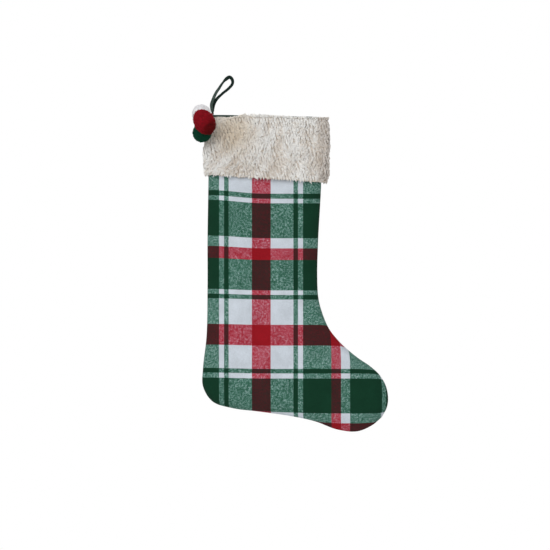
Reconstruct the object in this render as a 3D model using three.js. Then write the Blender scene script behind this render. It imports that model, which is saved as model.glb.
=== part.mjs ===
// A hanging stocking: two plaid flannel panels sewn round their edge, a lining of the same cut inside
// them, a turned-down fleece cuff, a bound mouth, a hanging loop and three yarn pompoms on ties.
//
// Units are millimetres. X runs from the heel side to the toe, Y from front to back, Z up. The stocking is
// drawn on its cutting pattern: X = 0 is the straight heel-side edge of the leg, Z = 0 is the lowest point
// of the sole and Y = 0 is the plane of the side seam. The last lines move the origin to the point inside
// the top of the loop where a hook bears.

import * as THREE from "three";

// Driving dimensions.
const DEPTH = 14.5; // how far each panel puffs out of the seam plane
const ROUNDING = 30; // how far in from the edge the puffed panel becomes flat
const SEAM_GAP = 0.3; // between the front and back pieces where they are sewn together
const SHELL_THICK = 1.5;
const LINING_OUT = 3.1; // from the shell's outer face in to the lining's outer face
const LINING_THICK = 0.7;
const THREAD_RADIUS = 0.35;
const SEAM_THREAD_IN = 2.3; // from the shell's outer face in to the seam threads
const SEAM_THREAD_APART = 0.6; // each seam thread's distance from the seam plane
const CUFF_IN = 1.9; // from the shell's outer face out to the cuff's inner face
const CUFF_TOE_SWELL = 5.5; // how much further the cuff stands out at its toe-side end
const TOE_SWELL_FROM = 0.93; // the share of the way to that end where the swell begins
const BINDING_CLEARANCE = 0.45;
const BINDING_THICK = 0.8;
const BINDING_DROP = 8; // how far the binding's legs reach down from the rim
const STITCH_DROP = 5;
const KNOT_RADIUS = 1.9;
const LOOP_DEPTH = 2.2; // the ribbon's thickness, along Y
const LOOP_WIDTH = 4.2; // and its width, in the plane of the loop
const TIE_RADIUS = 0.6;
const BORE_RADIUS = 1;
const POMPOM_RADIUS = { white: 14, red: 14.8, green: 14 };

// The cutting pattern: ribs across the stocking, each from the heel-side edge to the shin-side edge, from
// the mouth down the leg, round the heel and along the foot to the toe, where both edges meet.
const RIBS = [
  [[2.5, 489.5], [177, 486]],
  [[1.5, 397.5], [175.6, 386]],
  [[0, 300], [171, 300]],
  [[0, 225], [169.5, 240]],
  [[-1.5, 150], [171.5, 207]],
  [[-7, 100], [178, 183]],
  [[-7, 72], [187.5, 161.5]],
  [[8, 48.5], [200, 145]],
  [[38, 38.5], [215, 130]],
  [[80, 33], [233, 115.5]],
  [[124, 27], [250, 104]],
  [[166, 18], [264.5, 91]],
  [[200, 5.5], [274.6, 74.8]],
  [[231, 2.6], [278.8, 55.8]],
  [[254, 12], [277, 40]],
  [[269, 24.5], [269, 24.5]],
];
const RIB_ROWS = 45; // rows of vertices from the mouth to the toe
const COLUMNS = 12; // and the strips across each row
const CUFF_SPAN = 1 / (RIBS.length - 1); // the share of the pattern that the cuff covers
const CUFF_HEIGHT = RIBS[0][0][1] - RIBS[1][0][1];
const EDGE_SAMPLES = 180;
const MOUTH_EXTENSION = 80; // the edges run on straight up past the mouth, so that it stays open

// The cuff's outer side, up from the hem: how far each corner stands out from the shell, and its drop below
// the rim as a share of the cuff's height.
const CUFF_OUTSIDE = [
  [7.6, 1],
  [8.6, 0.8],
  [8.6, 0.22],
  [7, 0.04],
  [4.6, 0],
];

// Where the loop, its sewn tail, the pompoms and their ties are.
const KNOT = new THREE.Vector3(7.8, 0, 493.9);
const TAIL = { x: 9.6, width: 1.6, depth: 3.6, bottom: 474, top: 491.6 };
const LOOP_TOP = 549.5;
const LOOP_ROUTE = [
  [7.8, -1.25, 496.1],
  [6.4, -1.25, 501.5],
  [6.1, -1.25, 507],
  [8.6, -1.25, 515],
  [13, -0.6, 525],
  [17.8, -0.2, 532.2],
  [22.8, 0, 539.8],
  [28.6, 0, 546.4],
  [34, 0, LOOP_TOP],
  [38, 0.1, 546],
  [38.6, 0.2, 539.8],
  [33, 0.4, 532.4],
  [24, 0.7, 525],
  [13.6, 1.25, 515],
  [9.6, 1.25, 506.6],
  [7.8, 1.25, 496.1],
];
const HOOK_POINT = new THREE.Vector3(34, 0, LOOP_TOP - LOOP_WIDTH / 2);
const POMPOMS = {
  white: { centre: [-8.9, -25, 491.9], tie: [[5.5, -4.6, 493.2], [2, -9.8, 493.1]] },
  red: {
    centre: [-3.7, -53.7, 478.2],
    tie: [[7.4, -5, 492.8], [7.7, -13.4, 492.4], [6.9, -22, 490.3], [5.4, -30.7, 487.1], [3.1, -38.8, 483.9]],
  },
  green: {
    centre: [-8, -26, 462.5],
    tie: [[1, -1.5, 493.1], [-4.5, -1.2, 492.7], [-9, -1.5, 487.5], [-10.4, -3.5, 481.5], [-10, -8.5, 475.8]],
  },
};
const POMPOM_TACK = { radius: 0.7, from: [2, 0.2, 492.6], to: [7.5, -2.8, 492.6] };

const MATERIALS = {
  plaid: new THREE.MeshStandardMaterial({ color: 0x2c5a45, roughness: 0.95, metalness: 0 }),
  lining: new THREE.MeshStandardMaterial({ color: 0x123a2a, roughness: 0.85, metalness: 0 }),
  fleece: new THREE.MeshStandardMaterial({ color: 0xd9cfc0, roughness: 1, metalness: 0 }),
  binding: new THREE.MeshStandardMaterial({ color: 0x0f3326, roughness: 0.8, metalness: 0 }),
  ribbon: new THREE.MeshStandardMaterial({ color: 0x14362b, roughness: 0.7, metalness: 0 }),
  thread: new THREE.MeshStandardMaterial({ color: 0x1d4a38, roughness: 0.7, metalness: 0 }),
  white_yarn: new THREE.MeshStandardMaterial({ color: 0xe6e4e2, roughness: 1, metalness: 0 }),
  red_yarn: new THREE.MeshStandardMaterial({ color: 0x8c1220, roughness: 1, metalness: 0 }),
  green_yarn: new THREE.MeshStandardMaterial({ color: 0x0f3b29, roughness: 1, metalness: 0 }),
};

const vector = ([x, y, z]) => new THREE.Vector3(x, y, z);
const edgeCurve = (side) =>
  new THREE.CatmullRomCurve3(RIBS.map((rib) => new THREE.Vector3(rib[side][0], 0, rib[side][1])));
const heelEdge = edgeCurve(0);
const shinEdge = edgeCurve(1);

// Each edge as a polyline that runs on above the mouth, for measuring distances from the edge.
function edgeLine(curve) {
  const line = curve.getPoints(EDGE_SAMPLES);
  const above = line[0].clone().add(new THREE.Vector3(0, 0, MOUTH_EXTENSION));
  return [above, ...line];
}
const edgeLines = [edgeLine(heelEdge), edgeLine(shinEdge)];

// The nearest point of both edges to p, in the seam plane.
function nearestEdgePoint(p) {
  let best = null;
  let least = Infinity;
  const found = new THREE.Vector3();
  const segment = new THREE.Line3();
  for (const line of edgeLines)
    for (let i = 1; i < line.length; i++) {
      segment.set(line[i - 1], line[i]).closestPointToPoint(p, true, found);
      if (found.distanceTo(p) < least) {
        least = found.distanceTo(p);
        best = found.clone();
      }
    }
  return best;
}

// The direction from the edge into the stocking, square to the edge, at share u of the pattern.
function inwards(curve, u) {
  const tangent = curve.getTangent(Math.min(Math.max(u, 0.001), 0.999));
  const square = new THREE.Vector3(-tangent.z, 0, tangent.x);
  return curve === heelEdge ? square : square.negate();
}

// The direction from the toe's tip, where the two edges meet, into the stocking.
const TIP_INWARDS = inwards(heelEdge, 1).add(inwards(shinEdge, 1)).normalize();

// A point of the front panel's outer face, moved outwards by offset along the face's normal. u runs from the
// mouth to the toe and v from the heel-side edge to the shin-side edge.
function facePoint(u, v, offset = 0) {
  const heel = heelEdge.getPoint(u);
  const shin = shinEdge.getPoint(u);
  const p = heel.clone().lerp(shin, v);
  let distance = 0;
  let slope = inwards(v < 0.5 ? heelEdge : shinEdge, u);
  if (heel.distanceTo(shin) < 1e-3) slope = TIP_INWARDS.clone();
  else if (v > 0 && v < 1) {
    const edge = nearestEdgePoint(p);
    distance = edge.distanceTo(p);
    slope = p.clone().sub(edge).normalize();
  }
  const t = 1 - Math.min(distance / ROUNDING, 1);
  const rise = Math.sqrt(1 - t * t);
  const normal = slope.multiplyScalar((-t * DEPTH) / ROUNDING);
  normal.y = -rise;
  return p.setY(-DEPTH * rise).addScaledVector(normal.normalize(), offset);
}

const columnShare = (j) => (1 - Math.cos((Math.PI * j) / COLUMNS)) / 2;
const mirrored = (p) => new THREE.Vector3(p.x, -p.y, p.z);

// A closed mesh from named faces: every triangle or quad is a list of points, equal points are shared, and a
// face that has shrunk to a line is left out.
class Surface {
  constructor() {
    this.places = new Map();
    this.positions = [];
    this.index = [];
  }
  corner(p) {
    const key = [p.x, p.y, p.z].map((c) => Math.round(c * 1e4)).join(",");
    if (!this.places.has(key)) {
      this.places.set(key, this.places.size);
      this.positions.push(p.x, p.y, p.z);
    }
    return this.places.get(key);
  }
  triangle(a, b, c) {
    const [i, j, k] = [a, b, c].map((p) => this.corner(p));
    if (i !== j && j !== k && k !== i) this.index.push(i, j, k);
  }
  quad(a, b, c, d) {
    this.triangle(a, b, c);
    this.triangle(a, c, d);
  }
  mesh(name, material, flipped = false) {
    const geometry = new THREE.BufferGeometry();
    geometry.setAttribute("position", new THREE.Float32BufferAttribute(this.positions, 3));
    geometry.setIndex(flipped ? this.index.slice().reverse() : this.index);
    geometry.computeVertexNormals();
    return named(new THREE.Mesh(geometry, material), name);
  }
}

function named(mesh, name) {
  mesh.name = name;
  return mesh;
}

// The front or back piece of a sheet of cloth that fills the puffed shape between two offsets.
function clothPiece(name, material, back, outer, inner) {
  const shift = back ? SEAM_GAP / 2 : -SEAM_GAP / 2;
  const place = (p) => {
    const q = back ? mirrored(p) : p;
    q.y += shift;
    return q;
  };
  const rows = (offset) =>
    Array.from({ length: RIB_ROWS + 1 }, (_, i) =>
      Array.from({ length: COLUMNS + 1 }, (_, j) => place(facePoint(i / RIB_ROWS, columnShare(j), offset))),
    );
  const [out, into] = [rows(-outer), rows(-inner)];
  const surface = new Surface();
  for (let i = 0; i < RIB_ROWS; i++) {
    for (let j = 0; j < COLUMNS; j++) {
      surface.quad(out[i][j], out[i + 1][j], out[i + 1][j + 1], out[i][j + 1]);
      surface.quad(into[i][j], into[i][j + 1], into[i + 1][j + 1], into[i + 1][j]);
    }
    surface.quad(out[i][0], into[i][0], into[i + 1][0], out[i + 1][0]);
    surface.quad(out[i][COLUMNS], out[i + 1][COLUMNS], into[i + 1][COLUMNS], into[i][COLUMNS]);
  }
  for (let j = 0; j < COLUMNS; j++)
    surface.quad(out[0][j], out[0][j + 1], into[0][j + 1], into[0][j]);
  return surface.mesh(name, material, back);
}

// A solid swept round the leg: profile is a closed list of [offset from the shell, drop below the rim], and
// shares lists the v of each section. A closed ring goes round both sides; a piece has flat ends.
function collar(name, material, profile, back, ring, outwardsAt = () => 0) {
  const section = (v, behind) =>
    profile.map(([offset, drop]) => {
      const u = (Math.max(drop, 0) / CUFF_HEIGHT) * CUFF_SPAN;
      const p = facePoint(u, v, offset + outwardsAt(v, drop, offset));
      p.z -= Math.min(drop, 0);
      if (!ring) p.y -= SEAM_GAP / 2;
      return behind ? mirrored(p) : p;
    });
  const front = Array.from({ length: COLUMNS + 1 }, (_, j) => section(columnShare(j), back));
  const rear = ring
    ? Array.from({ length: COLUMNS - 1 }, (_, j) => section(columnShare(COLUMNS - 1 - j), true))
    : [];
  const sections = [...front, ...rear];
  const surface = new Surface();
  const count = profile.length;
  for (let k = 0; k < (ring ? sections.length : sections.length - 1); k++) {
    const [a, b] = [sections[k], sections[(k + 1) % sections.length]];
    for (let i = 0; i < count; i++) {
      const next = (i + 1) % count;
      surface.quad(a[i], b[i], b[next], a[next]);
    }
  }
  if (!ring) {
    const outline = profile.map(([x, y]) => new THREE.Vector2(x, y));
    const last = sections[sections.length - 1];
    for (const [i, j, k] of THREE.ShapeUtils.triangulateShape(outline, [])) {
      surface.triangle(sections[0][i], sections[0][k], sections[0][j]);
      surface.triangle(last[i], last[j], last[k]);
    }
  }
  return surface.mesh(name, material, back);
}

// A cord of round or oval section along a route, which is smooth unless its tension is 0.
function cord(name, material, route, across, along, sides, steps, tension = 0.5) {
  const shape = new THREE.Shape(
    Array.from({ length: sides }, (_, i) => {
      const angle = (2 * Math.PI * (i + 0.5)) / sides;
      return new THREE.Vector2(across * Math.cos(angle), along * Math.sin(angle));
    }),
  );
  const path = new THREE.CatmullRomCurve3(route, false, "catmullrom", tension);
  return named(
    new THREE.Mesh(new THREE.ExtrudeGeometry(shape, { steps, extrudePath: path, bevelEnabled: false }), material),
    name,
  );
}

// The thread of the side seam, from the mouth round the foot and back up to the mouth.
function seamThread(name, material, y) {
  const route = [];
  for (let i = 1; i <= RIB_ROWS; i++) route.push(facePoint(i / RIB_ROWS, 0, -SEAM_THREAD_IN));
  for (let i = RIB_ROWS - 1; i > 0; i--) route.push(facePoint(i / RIB_ROWS, 1, -SEAM_THREAD_IN));
  route.forEach((p) => p.setY(y));
  return cord(name, material, route, THREAD_RADIUS, THREAD_RADIUS, 4, 150, 0);
}

// The upright thread that joins the front and back of the cuff at one end.
function cuffThread(name, v) {
  const drops = [BINDING_DROP + 2, CUFF_HEIGHT / 2, CUFF_HEIGHT - 3];
  const route = drops.map((drop) => facePoint((drop / CUFF_HEIGHT) * CUFF_SPAN, v, CUFF_IN / 2).setY(0));
  return cord(name, MATERIALS.thread, route, THREAD_RADIUS, THREAD_RADIUS, 4, 6);
}

// The row of stitches inside the binding, open at the heel corner, where the loop's tail is sewn.
function bindingStitch() {
  const inside = BINDING_CLEARANCE + BINDING_THICK + LINING_OUT + LINING_THICK + THREAD_RADIUS + 0.6;
  const u = (STITCH_DROP / CUFF_HEIGHT) * CUFF_SPAN;
  const first = 0.05;
  const points = 18;
  const route = [];
  for (let i = 0; i <= points; i++) {
    const share = (1 - Math.cos((Math.PI * i) / points)) / 2;
    route.push(facePoint(u, first + (1 - first) * share, -inside));
  }
  const rear = route.slice(0, -1).reverse().map(mirrored);
  return cord("binding_stitch", MATERIALS.thread, [...route, ...rear], THREAD_RADIUS, THREAD_RADIUS, 4, 60);
}

// The bias tape folded over the raw edges of the shell and the lining.
function mouthBinding() {
  const outer = [BINDING_CLEARANCE, BINDING_CLEARANCE + BINDING_THICK];
  const inner = [-LINING_OUT - LINING_THICK - BINDING_CLEARANCE];
  inner.push(inner[0] - BINDING_THICK);
  const top = [-BINDING_CLEARANCE, -BINDING_CLEARANCE - BINDING_THICK];
  return collar(
    "mouth_binding",
    MATERIALS.binding,
    [
      [outer[1], BINDING_DROP],
      [outer[1], top[1]],
      [inner[1], top[1]],
      [inner[1], BINDING_DROP],
      [inner[0], BINDING_DROP],
      [inner[0], top[0]],
      [outer[0], top[0]],
      [outer[0], BINDING_DROP],
    ],
    false,
    true,
  );
}

// One side of the fleece cuff. It swells towards its toe-side end.
function cuff(name, back) {
  const outside = CUFF_OUTSIDE.map(([offset, share]) => [offset, share * CUFF_HEIGHT]);
  const inside = [0.004, 0.5, 1].map((share) => [CUFF_IN, share * CUFF_HEIGHT]);
  const swell = (v, drop, offset) => {
    if (offset <= CUFF_IN) return 0;
    const towardsToe = THREE.MathUtils.smoothstep(v, TOE_SWELL_FROM, 1);
    const bulge = Math.sqrt(Math.max(Math.sin((Math.PI * drop) / CUFF_HEIGHT), 0));
    return CUFF_TOE_SWELL * towardsToe * bulge;
  };
  return collar(name, MATERIALS.fleece, [...outside, ...inside], back, false, swell);
}

// The two ribbon ends that go down inside the mouth and are sewn to the binding.
function loopTail() {
  const { x, width, depth, bottom, top } = TAIL;
  const box = new THREE.Mesh(new THREE.BoxGeometry(width, depth, top - bottom), MATERIALS.ribbon);
  box.position.set(x, 0, (top + bottom) / 2);
  return named(box, "loop_tail");
}

function loopKnot() {
  const ball = new THREE.Mesh(new THREE.SphereGeometry(KNOT_RADIUS, 10, 7), MATERIALS.ribbon);
  ball.position.copy(KNOT);
  return named(ball, "loop_knot");
}

// A ball of cut yarn with a bore down to its centre, where its tie ends. The bore points along direction.
function pompom(colour, centre, direction) {
  const radius = POMPOM_RADIUS[colour];
  const mouth = Math.asin(BORE_RADIUS / radius);
  const rings = 10;
  const profile = [];
  for (let i = 0; i <= rings; i++) {
    const angle = -Math.PI / 2 + ((Math.PI - mouth) * i) / rings;
    profile.push(new THREE.Vector2(i ? radius * Math.cos(angle) : 0, radius * Math.sin(angle)));
  }
  profile.push(new THREE.Vector2(BORE_RADIUS, 0), new THREE.Vector2(0, 0));
  const ball = new THREE.Mesh(new THREE.LatheGeometry(profile, 16), MATERIALS[colour + "_yarn"]);
  ball.position.copy(centre);
  ball.quaternion.setFromUnitVectors(new THREE.Vector3(0, 1, 0), direction);
  return named(ball, "pompom_" + colour);
}

// A pompom and the yarn tie that leads to it. The tie's last stretch runs straight down the bore.
function pompomOnTie(colour) {
  const { centre: place, tie } = POMPOMS[colour];
  const centre = vector(place);
  const route = tie.map(vector);
  const direction = route[route.length - 1].clone().sub(centre).normalize();
  const straightFrom = route[route.length - 1].distanceTo(centre);
  const bottom = 0.6;
  for (let k = 1; k <= 4; k++)
    route.push(centre.clone().addScaledVector(direction, THREE.MathUtils.lerp(straightFrom, bottom, k / 4)));
  return [
    pompom(colour, centre, direction),
    cord("tie_" + colour, MATERIALS[colour + "_yarn"], route, TIE_RADIUS, TIE_RADIUS, 6, 16),
  ];
}

// The bar of stitches across the rim's corner, beside which the three ties come out of the binding.
function pompomTack() {
  const route = [POMPOM_TACK.from, POMPOM_TACK.to].map(vector);
  return cord("pompom_tack", MATERIALS.thread, route, POMPOM_TACK.radius, POMPOM_TACK.radius, 6, 2);
}

const liningOffsets = [LINING_OUT, LINING_OUT + LINING_THICK];
const stocking = new THREE.Group();
stocking.add(
  clothPiece("front_panel", MATERIALS.plaid, false, 0, SHELL_THICK),
  clothPiece("back_panel", MATERIALS.plaid, true, 0, SHELL_THICK),
  clothPiece("lining_front", MATERIALS.lining, false, ...liningOffsets),
  clothPiece("lining_back", MATERIALS.lining, true, ...liningOffsets),
  seamThread("shell_seam_thread", MATERIALS.thread, -SEAM_THREAD_APART),
  seamThread("lining_seam_thread", MATERIALS.lining, SEAM_THREAD_APART),
  mouthBinding(),
  bindingStitch(),
  cuff("cuff_front", false),
  cuff("cuff_back", true),
  cuffThread("cuff_seam_thread_heel", 0),
  cuffThread("cuff_seam_thread_toe", 1),
  loopTail(),
  loopKnot(),
  cord("hanging_loop", MATERIALS.ribbon, LOOP_ROUTE.map(vector), LOOP_DEPTH / 2, LOOP_WIDTH / 2, 8, 44),
  pompomTack(),
  ...Object.keys(POMPOMS).flatMap(pompomOnTie),
);
stocking.position.copy(HOOK_POINT).negate();

const part = new THREE.Group();
part.add(stocking);

export default part;
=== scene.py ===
"""A hanging plaid stocking: flannel shell, lining, bound mouth, fleece cuff, cord loop and three pompoms.

Sizes are millimetres on the cutting pattern, whose X starts at the straight heel-side edge of the leg, whose
Z starts at the lowest point of the sole and whose Y = 0 is the plane of the side seam. to_row() turns them
into metres in the part's own frame, whose origin is where a hook bears inside the loop.
"""

import math

import bmesh
import bpy
import numpy as np
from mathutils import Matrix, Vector, noise


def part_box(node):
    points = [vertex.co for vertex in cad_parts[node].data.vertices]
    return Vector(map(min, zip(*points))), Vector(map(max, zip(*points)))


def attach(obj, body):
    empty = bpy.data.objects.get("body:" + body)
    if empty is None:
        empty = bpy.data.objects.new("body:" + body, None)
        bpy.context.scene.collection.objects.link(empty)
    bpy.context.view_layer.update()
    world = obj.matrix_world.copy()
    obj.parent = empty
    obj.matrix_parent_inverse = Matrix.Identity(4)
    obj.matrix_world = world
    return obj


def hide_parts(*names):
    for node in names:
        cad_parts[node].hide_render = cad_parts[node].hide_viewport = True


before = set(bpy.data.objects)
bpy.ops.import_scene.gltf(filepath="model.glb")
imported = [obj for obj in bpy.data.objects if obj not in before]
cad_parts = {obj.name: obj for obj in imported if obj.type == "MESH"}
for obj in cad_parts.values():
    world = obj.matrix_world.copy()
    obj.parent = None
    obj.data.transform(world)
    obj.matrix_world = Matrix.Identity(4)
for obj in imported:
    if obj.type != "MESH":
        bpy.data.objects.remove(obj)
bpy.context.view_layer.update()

MM = 0.001
HOOK = np.array([34.0, 0.0, 547.4])  # the part's origin, on the pattern

# The cutting pattern's ribs: heel-side point and shin-side point, from the mouth to the toe.
RIBS = np.array(
    [
        [[2.5, 489.5], [177, 486]],
        [[1.5, 397.5], [175.6, 386]],
        [[0, 300], [171, 300]],
        [[0, 225], [169.5, 240]],
        [[-1.5, 150], [171.5, 207]],
        [[-7, 100], [178, 183]],
        [[-7, 72], [187.5, 161.5]],
        [[8, 48.5], [200, 145]],
        [[38, 38.5], [215, 130]],
        [[80, 33], [233, 115.5]],
        [[124, 27], [250, 104]],
        [[166, 18], [264.5, 91]],
        [[200, 5.5], [274.6, 74.8]],
        [[231, 2.6], [278.8, 55.8]],
        [[254, 12], [277, 40]],
        [[269, 24.5], [269, 24.5]],
    ],
    float,
)
DEPTH = 14.5  # how far each panel puffs out of the seam plane
ROUNDING = 30  # how far in from the edge the puffed panel becomes flat
SEAM_GAP = 0.3  # between the two panels at their edges
SHELL_THICK = 1.5
LINING_OUT = 3.1  # how far inside the shell's outer face the lining's outer face lies
LINING_THICK = 0.7
CUFF_SPAN = 1 / (len(RIBS) - 1)  # the cuff covers the pattern's first span
CUFF_HEIGHT = RIBS[0, 0, 1] - RIBS[1, 0, 1]
BINDING_OUTER = (0.45, 1.25)  # how far out of the shell's face the two sides of the outer leg lie
BINDING_INNER = (-4.25, -5.05)  # and of the inner leg
BINDING_DROP = 8  # how far both legs reach below the rim
MOUTH_EXTENSION = 80  # the seam lines are carried on above the mouth, where the panel isn't rounded off
ANKLE = (150, 190)  # the front of the ankle, where the cloth drags

# The tartan's sett: stripe widths in millimetres, in order across the cloth and down it.
SETT_COLOURS = {
    "white": (0.52, 0.565, 0.62),
    "green": (0.0053, 0.0345, 0.0175),
    "red": (0.26, 0.0073, 0.0132),
}
SETT_COVER = {"white": 0.77, "red": 0.8, "green": 0.61}  # how well each yarn hides the one it crosses
WEFT_COVER = 1.1  # the weft is brushed up more than the warp
WARP_SETT = [
    ("white", 7.7), ("green", 7), ("white", 35.5), ("red", 28.5), ("white", 35.5), ("green", 7),
    ("white", 8.5), ("green", 42.5), ("red", 15.4), ("white", 14.7), ("green", 49.4),
]  # fmt: skip
WEFT_SETT = [
    ("green", 7), ("white", 7), ("green", 54), ("white", 15.4), ("red", 17.8), ("green", 47.1),
    ("white", 7), ("green", 7.7), ("white", 38.6), ("red", 31.7), ("white", 36.3),
]  # fmt: skip
WARP_START = 17.8  # where the sett begins across the leg
WEFT_START = 369.1  # and the height where it begins down the leg
YARN_PITCH = 0.78  # from one yarn to the next
TWILL_SHOW = 0.1  # how much more of the upper yarn shows at a crossing
FLECK_STRENGTH = 0.8  # and how unevenly the nap shares it between the two
LOG_RANGE = 7.0  # colours are mixed as logarithms, over this many natural log units


def to_row(points):
    """Pattern millimetres to metres in the part's frame."""
    return (np.asarray(points, float) - HOOK) * MM


def mirrored(points):
    return points * np.array([1.0, -1.0, 1.0])


def smoothstep(low, high, x):
    t = np.clip((x - low) / (high - low), 0, 1)
    return t * t * (3 - 2 * t)


def noise_field(points, scale, seed):
    """Smooth noise from -1 to 1 at each point. scale is the size of its features along X, Y and Z."""
    scaled = np.asarray(points, float) / np.asarray(scale, float) + seed * 17.31
    return np.array([noise.noise(Vector(p)) for p in scaled.reshape(-1, 3)]).reshape(scaled.shape[:-1])


def plane_noise(x, z, scale, seed):
    """Smooth noise from -1 to 1 over a plane. scale is the size of its features along X and Z."""
    return noise_field(np.stack([x, np.zeros_like(x), z], 1), (scale[0], 1, scale[1]), seed)


def unit(vectors):
    """The vectors, each with a length of 1."""
    return vectors / np.maximum(np.linalg.norm(vectors, axis=-1, keepdims=True), 1e-9)


def distance_along(line):
    """How far along a line each of its points lies."""
    return np.concatenate([[0], np.cumsum(np.linalg.norm(np.diff(line, axis=0), axis=1))])


def crowded(share):
    """Shares from 0 to 1, moved closer together towards both ends."""
    return (1 - np.cos(math.pi * share)) / 2


# --- the pattern


def curve_points(points, share):
    """Points at the given shares of a centripetal Catmull-Rom curve."""
    points = np.asarray(points, float)
    padded = np.vstack([2 * points[0] - points[1], points, 2 * points[-1] - points[-2]])
    spans = len(points) - 1
    place = np.clip(np.asarray(share, float), 0, 1) * spans
    first = np.minimum(place.astype(int), spans - 1)
    t = (place - first)[..., None]
    p0, p1, p2, p3 = (padded[first + k] for k in range(4))
    pairs = ((p0, p1), (p1, p2), (p2, p3))
    d0, d1, d2 = (np.linalg.norm(b - a, axis=-1, keepdims=True) ** 0.5 for a, b in pairs)
    m1 = ((p1 - p0) / d0 - (p2 - p0) / (d0 + d1) + (p2 - p1) / d1) * d1
    m2 = ((p2 - p1) / d1 - (p3 - p1) / (d1 + d2) + (p3 - p2) / d2) * d1
    c2 = 3 * (p2 - p1) - 2 * m1 - m2
    c3 = 2 * (p1 - p2) + m1 + m2
    return p1 + m1 * t + c2 * t**2 + c3 * t**3


def edge_line(side):
    """The panel's cut edge on one side, 0 at the heel and 1 at the shin, from above the mouth to the toe."""
    line = curve_points(RIBS[:, side], np.linspace(0, 1, 241))
    return np.vstack([line[0] + [0, MOUTH_EXTENSION], line])


EDGE_LINES = [edge_line(0), edge_line(1)]
POINTS_AT_ONCE = 4000  # the search for the nearest edge works through the points in parts


def nearest_edge(points):
    """The nearest point of the cut edge to each point of the seam plane, and how far along the edge it is."""
    nearest = np.zeros_like(points)
    along = np.zeros(len(points))
    least = np.full(len(points), np.inf)
    for line, sign in zip(EDGE_LINES, (1, -1), strict=True):
        a, d = line[:-1], np.diff(line, axis=0)
        length = np.linalg.norm(d, axis=1)
        start = np.concatenate([[0], np.cumsum(length)[:-1]])
        for low in range(0, len(points), POINTS_AT_ONCE):
            part = slice(low, low + POINTS_AT_ONCE)
            to_point = points[part, None] - a
            t = np.clip((to_point * d).sum(-1) / length**2, 0, 1)
            gap = np.linalg.norm(to_point - t[..., None] * d, axis=-1)
            best = gap.argmin(1)
            rows = np.arange(len(best))
            closer = gap[rows, best] < least[part]
            where = np.flatnonzero(closer) + low
            k, tk = best[closer], t[rows, best][closer]
            least[where] = gap[rows, best][closer]
            nearest[where] = a[k] + tk[:, None] * d[k]
            along[where] = sign * (start[k] + tk * length[k])
    return nearest, along


class Face:
    """The front panel's outer face at shares u down the pattern and v across it, both arrays of one shape."""

    def __init__(self, u, v):
        u, v = np.broadcast_arrays(np.asarray(u, float), np.asarray(v, float))
        self.shape = u.shape
        heel = curve_points(RIBS[:, 0], u)
        shin = curve_points(RIBS[:, 1], u)
        self.plane = (heel + (shin - heel) * v[..., None]).reshape(-1, 2)
        # The direction inwards is taken from a point just inside the edge, because it has none on the edge.
        width = np.linalg.norm(shin - heel, axis=-1)
        margin = np.minimum(0.35 / np.maximum(width, 0.1), 0.4)
        inside = np.clip(v, margin, 1 - margin)[..., None]
        flat = (heel + (shin - heel) * inside).reshape(-1, 2)
        edge, self.along = nearest_edge(flat)
        self.inwards = unit(flat - edge)
        on_edge = np.ravel((v <= 0) | (v >= 1))
        self.gap = np.where(on_edge, 0, np.linalg.norm(self.plane - edge, axis=1))
        self.t = 1 - np.minimum(self.gap / ROUNDING, 1)
        self.rise = np.sqrt(1 - self.t**2)
        tilt = self.inwards * (-self.t * DEPTH / ROUNDING)[:, None]
        self.normal = unit(np.stack([tilt[:, 0], -self.rise, tilt[:, 1]], 1))

    def points(self, offset=0.0, swell=None):
        """The face moved outwards along its normal by offset, and puffed out further by swell."""
        depth = DEPTH * self.rise + (0 if swell is None else swell)
        base = np.stack([self.plane[:, 0], -depth, self.plane[:, 1]], 1)
        moved = base + self.normal * np.broadcast_to(offset, self.gap.shape)[:, None]
        return moved.reshape(*self.shape, 3)

    def cloth(self):
        """Where each point lies on the flat cloth. The puffed rim's extra length goes past the edge."""
        angle = np.linspace(0, math.pi / 2, 400)
        step = np.hypot(ROUNDING * np.cos(angle), DEPTH * np.sin(angle)) * (angle[1] - angle[0])
        arc = np.interp(self.t, np.sin(angle), np.concatenate([[0], np.cumsum(step)[:-1]]))
        return self.plane - self.inwards * (arc - ROUNDING * self.t)[:, None]


def wrinkles(face, seed):
    """How much further out the cloth stands: soft waves, drag lines at the ankle, and puckers at the seam."""
    x, z = face.plane.T
    inner = smoothstep(2, 30, face.gap)
    waves = 1.3 * plane_noise(x, z, (62, 105), seed) + 0.55 * plane_noise(x, z, (24, 33), seed + 1)
    ankle = np.exp(-(((x - ANKLE[0]) / 45) ** 2 + ((z - ANKLE[1]) / 50) ** 2))
    drag = 1.5 * ankle * np.sin((0.55 * x + z) / 9 + 2.2 * plane_noise(x, z, (60, 60), seed + 2))
    pucker = 1.1 * plane_noise(face.along, 0 * x, (6.5, 1), seed + 3)
    pucker += plane_noise(face.along, 0 * x, (19, 1), seed + 4)
    rim = smoothstep(0, 5, face.gap) * np.exp(-face.gap / 9)
    return inner * (waves + drag) + rim * pucker


# --- meshes


def grid_faces(rows, columns, wrap=False):
    """Quads between the points of a grid, numbered row by row. wrap joins the last column to the first."""
    r = np.arange(rows - 1)[:, None]
    c = np.arange(columns if wrap else columns - 1)[None]
    right = (c + 1) % columns
    corners = [r * columns + c, (r + 1) * columns + c, (r + 1) * columns + right, r * columns + right]
    return np.stack([np.broadcast_to(q, (rows - 1, c.shape[1])).ravel() for q in corners], 1)


def closed_tube(rows, around):
    """The faces of a tube that is closed by a flat face at both ends."""
    ends = [list(range(around)), [(rows - 1) * around + k for k in range(around)]]
    return grid_faces(rows, around, wrap=True).tolist() + ends


def new_object(name, data):
    made = bpy.data.objects.new(name, data)
    bpy.context.scene.collection.objects.link(made)
    return made


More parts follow.
